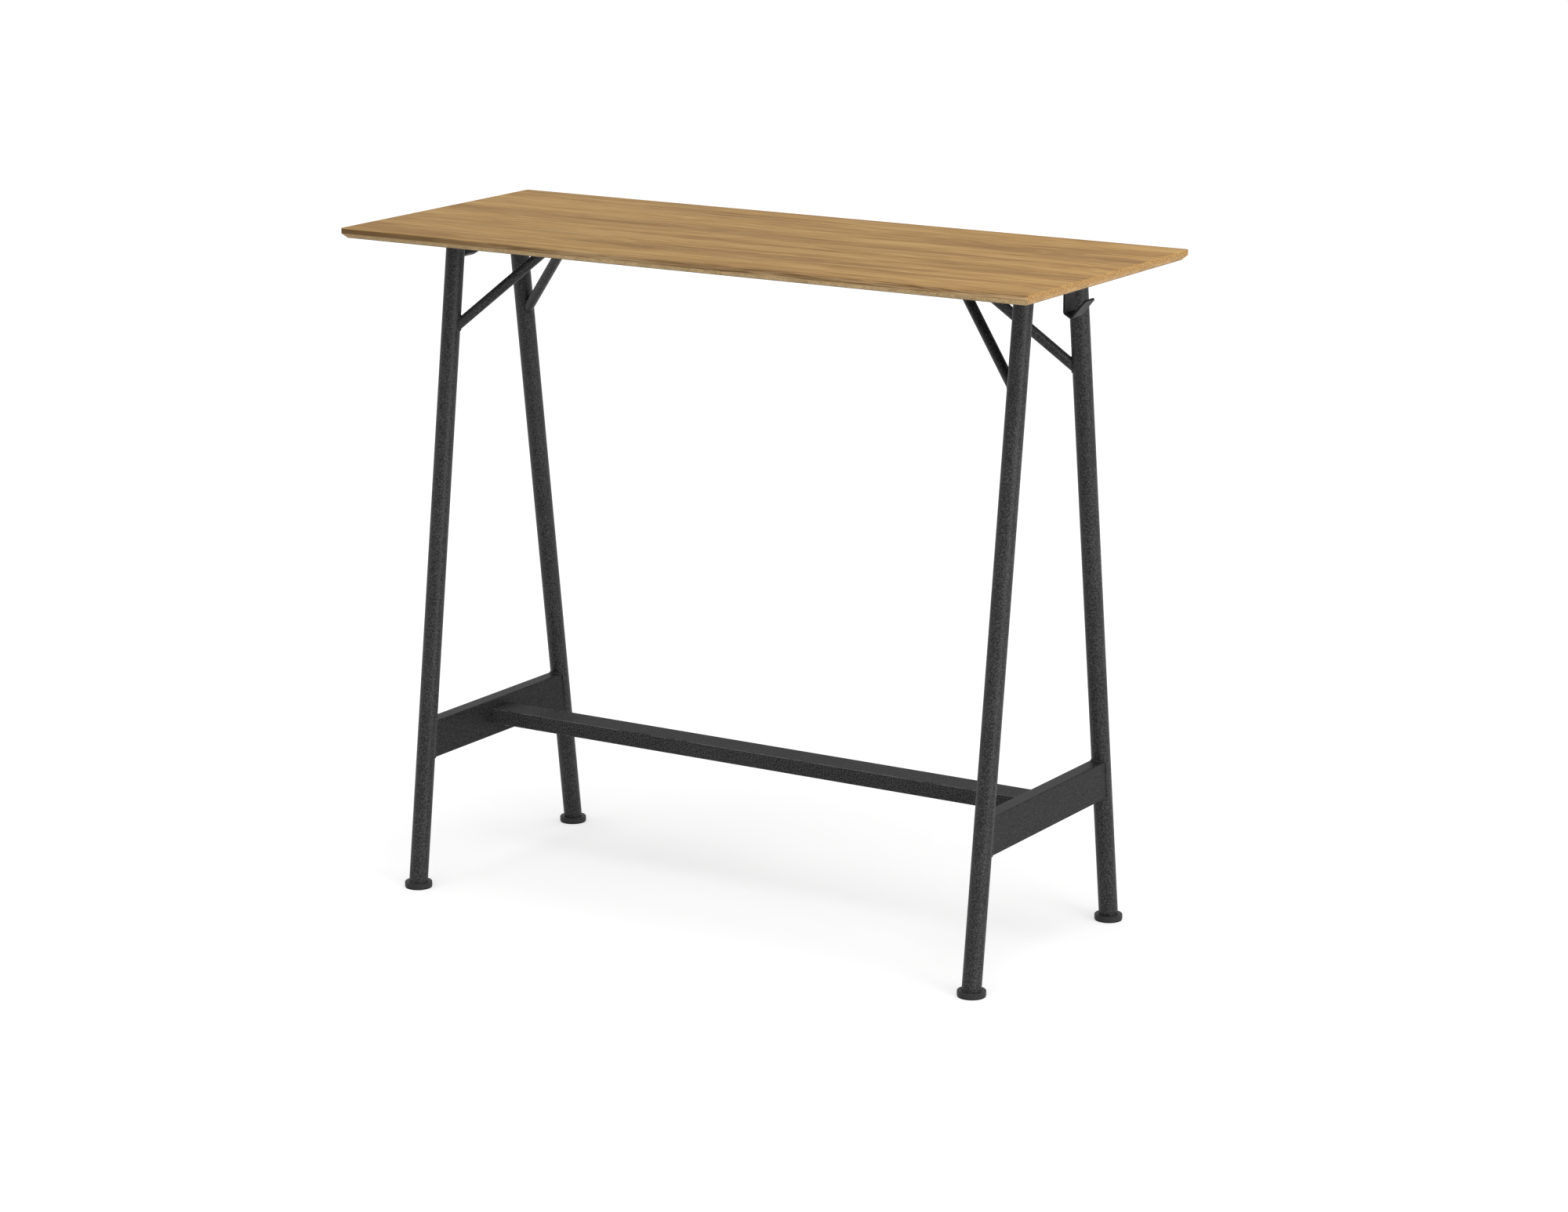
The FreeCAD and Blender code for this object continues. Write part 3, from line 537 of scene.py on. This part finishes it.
def threadRings(radius, thread, low, high, sides):
    # a right-hand thread that fades in at its foot and out at its tip
    rings = []
    rows = math.ceil((high - low) / thread["pitch"] * thread["rowsPerTurn"])
    for row in range(rows + 1):
        height = low + (high - low) * row / rows
        fade = min(1, (height - low) / thread["pitch"], (high - height) / thread["pitch"])

        def reach(turn, height=height, fade=fade):
            wave = math.cos(2 * math.pi * (height / thread["pitch"]) - turn)
            return radius - thread["depth"] * (1 - fade + fade * (0.5 - 0.5 * wave))
        rings.append(ringAt(height, reach, sides))
    return rings


# weld beads, coated with the frame, where its tubes meet each other and the plates

beadSet = {
    "legFloorY": 0.2187,
    "legLean": 7.5,
    "braceLow": 0.888,
    "braceHead": (0.3535, 0.01),
    "braceRadius": 0.008,
    "barCorner": 0.002,
    "cornerSteps": 3,
    "pathStep": 0.0015,
    "waver": {"Scale": 220, "Detail": 1},
    "unevenness": {"scale": 90, "detail": 1},
    "sizes": {"Radius": 0.0018, "Step": 0.0003, "Ripple Pitch": 0.0014, "Ripple Depth": 0.24,
              "Swell": 0.35, "Wander": 0.0006, "Sides": 8},
}


def beadShape():
    sockets = {label: "Int" if label == "Sides" else "Float" for label in beadSet["sizes"]}
    tree, given = newShape("weldBead", sockets)
    line = addNode(tree, "GeometryNodeMeshToCurve", links={"Mesh": given["Geometry"]})
    even = addNode(tree, "GeometryNodeResampleCurve", mode="LENGTH",
                   links={"Curve": line.outputs[0], "Length": given["Step"]})

    place = addNode(tree, "GeometryNodeInputPosition").outputs[0]
    waver = addNode(tree, "ShaderNodeTexNoise", beadSet["waver"], {"Vector": place})
    centred = addNode(tree, "ShaderNodeVectorMath", operation="SUBTRACT")
    tree.links.new(waver.outputs["Color"], centred.inputs[0])
    centred.inputs[1].default_value = (0.5, 0.5, 0.5)
    aside = addNode(tree, "ShaderNodeVectorMath", operation="SCALE",
                    links={"Vector": centred.outputs[0], "Scale": given["Wander"]})
    laid = addNode(tree, "GeometryNodeSetPosition",
                   links={"Geometry": even.outputs[0], "Offset": aside.outputs[0]})

    along = addNode(tree, "GeometryNodeSplineParameter").outputs["Length"]
    phase = calc(tree, "FRACT", calc(tree, "DIVIDE", along, given["Ripple Pitch"]))
    dip = calc(tree, "MULTIPLY", calc(tree, "POWER", phase, 2), given["Ripple Depth"])
    uneven = calc(tree, "SUBTRACT", noise(tree, place, **beadSet["unevenness"]), 0.5)
    swell = calc(tree, "MULTIPLY", uneven, given["Swell"])
    scale = calc(tree, "ADD", calc(tree, "SUBTRACT", 1, dip), swell)
    ring = addNode(tree, "GeometryNodeCurvePrimitiveCircle",
                   links={"Resolution": given["Sides"], "Radius": given["Radius"]})
    bead = addNode(tree, "GeometryNodeCurveToMesh",
                   links={"Curve": laid.outputs[0], "Profile Curve": ring.outputs[0], "Scale": scale})
    smooth = addNode(tree, "GeometryNodeSetShadeSmooth", links={"Geometry": bead.outputs[0]})
    endShape(tree, given, smooth.outputs[0])
    return tree


def meetTube(start, way, line, radius):
    # the farther of the two places where a straight line goes through a round tube
    middle, axis = line
    off = start - middle
    across = way - axis * way.dot(axis)
    aside = off - axis * off.dot(axis)
    half = across.dot(aside)
    root = math.sqrt(half ** 2 - across.dot(across) * (aside.dot(aside) - radius ** 2))
    return start + way * ((root - half) / across.dot(across))


def meetLevel(start, way, level):
    return start + way * ((level - start.z) / way.z)


def roundSection(middle, way, radius):
    one = way.orthogonal().normalized()
    other = way.cross(one)
    count = round(2 * math.pi * radius / beadSet["pathStep"])
    turns = [2 * math.pi * i / count for i in range(count)]
    return [middle + (one * math.cos(turn) + other * math.sin(turn)) * radius for turn in turns]


def barSection(low, high):
    # round the bar's outline in X and Z, corners included
    middle, corner = (low + high) / 2, beadSet["barCorner"]
    half = (high - low) / 2
    steps = beadSet["cornerSteps"]
    corners = []
    for quarter in range(4):
        signX = 1 if quarter in (0, 3) else -1
        signZ = 1 if quarter in (0, 1) else -1
        for step in range(steps + 1):
            turn = math.pi / 2 * quarter + math.pi / (2 * steps) * step
            corners.append(Vector((middle.x + signX * (half.x - corner) + corner * math.cos(turn), 0,
                                   middle.z + signZ * (half.z - corner) + corner * math.sin(turn))))
    points = []
    for start, end in zip(corners, corners[1:] + corners[:1]):
        count = max(1, round((end - start).length / beadSet["pathStep"]))
        points += [start.lerp(end, i / count) for i in range(count)]
    return points


def beadPaths():
    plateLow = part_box("left_top_rail")[0].z
    lean = math.tan(math.radians(beadSet["legLean"]))
    braceLow = beadSet["braceLow"]
    paths = []
    for side, signX in (("left", -1), ("right", 1)):
        for row, signY in (("front", -1), ("rear", 1)):
            legLow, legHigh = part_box(f"{row}_{side}_leg")
            legX = (legLow.x + legHigh.x) / 2
            legRadius = (legHigh.x - legLow.x) / 2
            axis = Vector((0, -signY * lean, 1)).normalized()
            line = (Vector((legX, signY * beadSet["legFloorY"], 0)), axis)
            legSection = roundSection(line[0], axis, legRadius)
            paths.append([meetLevel(start, axis, plateLow) for start in legSection])

            inwards = Vector((0, -signY, 0))
            bar = barSection(*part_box(f"{side}_crossbar"))
            starts = [Vector((point.x, signY * (beadSet["legFloorY"] - point.z * lean), point.z))
                      for point in bar]
            paths.append([meetTube(start, inwards, line, legRadius) for start in starts])

            foot = Vector((legX, signY * (beadSet["legFloorY"] - braceLow * lean), braceLow))
            head = Vector((signX * beadSet["braceHead"][0], signY * beadSet["braceHead"][1], plateLow))
            way = (head - foot).normalized()
            braceSection = roundSection(foot, way, beadSet["braceRadius"])
            paths.append([meetTube(start, way, line, legRadius) for start in braceSection])
            paths.append([meetLevel(start, way, plateLow) for start in braceSection])
    return paths


def weldBeads():
    points = []
    edges = []
    for path in beadPaths():
        first = len(points)
        points += path
        edges += [(first + i, first + (i + 1) % len(path)) for i in range(len(path))]
    lines = bpy.data.meshes.new("beadLines")
    lines.from_pydata(points, edges, [])
    beads = grow("weld_beads", beadShape(), {**beadSet["sizes"], "Finish": coat}, lines)
    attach(beads, "desk")
    print("weld beads:", len(beads.data.polygons), "faces")


weldBeads()


# hex-head screws, their heads down and their threads up in the board or the sleeve

screwSet = {
    "flats": 0.01,
    "headHeight": 0.004,
    "faceShare": 0.93,  # of the flats, left by the chamfer
    "chamfer": 30,
    "dimpleRadius": 0.0026,
    "dimpleShare": 0.8,
    "dimpleDepth": 0.0004,
    "collarHeight": 0.0004,
    "collarShare": 0.97,
    "radius": 0.003,
    "tip": 0.001,
    "tipSlope": 3,  # length of the tip to what it narrows
    "sides": 24,
    "thread": {"pitch": 0.001, "depth": 0.0006, "rowsPerTurn": 6},
    "perRow": 2,
}


def screwMesh(length):
    sides = screwSet["sides"]
    apothem = screwSet["flats"] / 2
    face = apothem * screwSet["faceShare"]
    rise = math.tan(math.radians(screwSet["chamfer"]))
    dimple = screwSet["dimpleRadius"]
    collar = apothem * screwSet["collarShare"]
    collarLow = screwSet["headHeight"] - screwSet["collarHeight"]
    headTop = screwSet["headHeight"]
    radius = screwSet["radius"]

    def hexReach(turn):
        return apothem / math.cos(turn % (math.pi / 3) - math.pi / 6)

    head = [
        ringAt(screwSet["dimpleDepth"], dimple * screwSet["dimpleShare"], sides),
        ringAt(0, dimple, sides),
        ringAt(0, face, sides),
        ringAt(lambda turn: (hexReach(turn) - face) * rise, hexReach, sides),
        ringAt(collarLow, hexReach, sides),
        ringAt(collarLow, collar, sides),
        ringAt(headTop, collar, sides),
        ringAt(headTop, radius, sides),
    ]
    shank = threadRings(radius, screwSet["thread"], headTop, length - screwSet["tip"], sides)
    tipRadius = radius - screwSet["thread"]["depth"] - screwSet["tip"] / screwSet["tipSlope"]
    point = [ringAt(length, tipRadius, sides)]
    return skinRings("screw", head + shank + point, screwSet["dimpleDepth"], length, len(head))


def rowShape():
    tree, given = newShape("rowOfScrews", {"Screw": "Object", "Count": "Int", "Start": "Vector",
                                           "Pitch": "Vector"})
    line = addNode(tree, "GeometryNodeMeshLine", links={
        "Count": given["Count"], "Start Location": given["Start"], "Offset": given["Pitch"]})
    screw = addNode(tree, "GeometryNodeObjectInfo", links={"Object": given["Screw"]})
    row = addNode(tree, "GeometryNodeInstanceOnPoints",
                  links={"Points": line.outputs[0], "Instance": screw.outputs["Geometry"]})
    endShape(tree, given, row.outputs[0])
    return tree


def screwRow(name, tree):
    low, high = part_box(name)
    screw = addPiece("screw", screwMesh(high.z - low.z))
    apothem = screwSet["flats"] / 2
    margin = Vector((apothem / math.cos(math.pi / 6), apothem, 0))
    start = low + margin
    pitch = high - margin - start
    row = grow(f"{name}_detailed", tree, {
        "Screw": screw, "Count": screwSet["perRow"], "Start": start,
        "Pitch": (pitch.x, pitch.y, 0), "Finish": finishFor(name)})
    bpy.data.objects.remove(screw)
    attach(row, "desk")
    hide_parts(name)


def driveScrews():
    tree = rowShape()
    names = [name for name in nodes if name.endswith("_screws")]
    for name in names:
        screwRow(name, tree)
    print("screws:", len(names), "rows")


driveScrews()


# threaded studs of the levelling feet, plain where they sit in the pad

studSet = {
    "tip": 0.0008,
    "tipSlope": 2,
    "sides": 32,
    "runIn": 0.0005,  # from the plain shank to the thread, ending at the pad's top
    "thread": {"pitch": 0.00125, "depth": 0.00065, "rowsPerTurn": 8},
}


def studOf(foot):
    low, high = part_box(f"{foot}_stud")
    middle = (low + high) / 2
    radius = (high.x - low.x) / 2
    sides = studSet["sides"]
    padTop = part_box(f"{foot}_pad")[1].z
    tipRadius = radius - studSet["thread"]["depth"] - studSet["tip"] / studSet["tipSlope"]
    rings = [ringAt(low.z, radius, sides), ringAt(padTop - studSet["runIn"], radius, sides)]
    rings += threadRings(radius, studSet["thread"], padTop, high.z - studSet["tip"], sides)
    rings.append(ringAt(high.z, tipRadius, sides))
    mesh = skinRings(f"{foot}_threaded_stud", rings, low.z, high.z)
    mesh.transform(Matrix.Translation((middle.x, middle.y, 0)))
    mesh.materials.append(zinc)
    stud = addPiece(f"{foot}_threaded_stud", mesh)
    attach(stud, foot)
    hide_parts(f"{foot}_stud")


for row in ("front", "rear"):
    for side in ("left", "right"):
        studOf(f"{row}_{side}_foot")
print("studs")


# the floor, the light and the camera

stageSet = {
    "floorSize": 60,
    "floorHeight": -0.0001,  # clear of the soles, which stand at nought
    "floorColour": 0.76,
    "floorRoughness": 0.9,
    "cameraLift": 0.45,
    "skyStrength": 0.52,
}


def whiteRays(tree):
    path = addNode(tree, "ShaderNodeLightPath")
    seen = calc(tree, "MAXIMUM", path.outputs["Is Camera Ray"], path.outputs["Is Glossy Ray"])
    return calc(tree, "MAXIMUM", seen, path.outputs["Is Transmission Ray"])


def floorFinish():
    finish, tree, shader = newFinish("paleFloor", stageSet["floorRoughness"], specular=0)
    level = stageSet["floorColour"]
    shader.inputs["Base Color"].default_value = (level, level, level, 1)
    lift = addNode(tree, "ShaderNodeEmission", {"Strength": stageSet["cameraLift"]})
    both = addNode(tree, "ShaderNodeAddShader")
    tree.links.new(shader.outputs[0], both.inputs[0])
    tree.links.new(lift.outputs[0], both.inputs[1])
    pick = addNode(tree, "ShaderNodeMixShader", links={"Fac": whiteRays(tree)})
    tree.links.new(shader.outputs[0], pick.inputs[1])
    tree.links.new(both.outputs[0], pick.inputs[2])
    tree.links.new(pick.outputs[0], tree.nodes["Material Output"].inputs["Surface"])
    return finish


def layFloor():
    half, level = stageSet["floorSize"] / 2, stageSet["floorHeight"]
    mesh = bpy.data.meshes.new("floor")
    corners = [(-half, -half, level), (half, -half, level), (half, half, level), (-half, half, level)]
    mesh.from_pydata(corners, [], [(0, 1, 2, 3)])
    mesh.materials.append(floorFinish())
    floor = addPiece("floor", mesh)


def openSky():
    sky = bpy.data.worlds.new("sky")
    sky.use_nodes = True
    tree = sky.node_tree
    glow = tree.nodes["Background"]
    glow.inputs["Color"].default_value = (1, 1, 1, 1)
    strength = levels(tree, whiteRays(tree), 0, 1, stageSet["skyStrength"], 1)
    tree.links.new(strength, glow.inputs["Strength"])
    bpy.context.scene.world = sky


lampSet = {
    "overhead": {"from": (0.2, -0.3, 1), "strength": 1.1, "angle": 60},
    "window": {"place": (7.2, -2, 0.8), "aim": (0, 0, 0.5), "power": 305, "size": 3.4},
}


def hangLamp(light, away, place=(0, 0, 0)):
    # its light falls against the direction named away
    item = bpy.data.objects.new(light.name, light)
    item.location = place
    item.rotation_euler = away.to_track_quat("Z", "Y").to_euler()
    bpy.context.scene.collection.objects.link(item)


def hangLamps():
    look = lampSet["overhead"]
    overhead = bpy.data.lights.new("overhead", "SUN")
    overhead.energy = look["strength"]
    overhead.angle = math.radians(look["angle"])
    hangLamp(overhead, Vector(look["from"]))

    look = lampSet["window"]
    window = bpy.data.lights.new("window", "AREA")
    window.energy = look["power"]
    window.size = look["size"]
    hangLamp(window, Vector(look["place"]) - Vector(look["aim"]), look["place"])


cameraSet = {
    "place": (3.4231, -5.393, 2.0412),
    "aim": (0.0471, 0, 0.4911),
    "roll": -0.05,
    "lens": 96.6,
    "sensorWidth": 36,
    "sight": 100,
}


def placeCamera():
    camera = bpy.data.cameras.new("camera")
    camera.sensor_fit = "HORIZONTAL"
    camera.sensor_width = cameraSet["sensorWidth"]
    camera.lens = cameraSet["lens"]
    camera.clip_end = cameraSet["sight"]
    item = bpy.data.objects.new("camera", camera)
    place = Vector(cameraSet["place"])
    look = (Vector(cameraSet["aim"]) - place).to_track_quat("-Z", "Y")
    roll = Matrix.Rotation(math.radians(cameraSet["roll"]), 4, "Z")
    item.matrix_world = Matrix.Translation(place) @ look.to_matrix().to_4x4() @ roll
    bpy.context.scene.collection.objects.link(item)
    bpy.context.scene.camera = item


print("floor, light and camera")
layFloor()
openSky()
hangLamps()
placeCamera()
bpy.context.scene.view_settings.view_transform = "Standard"
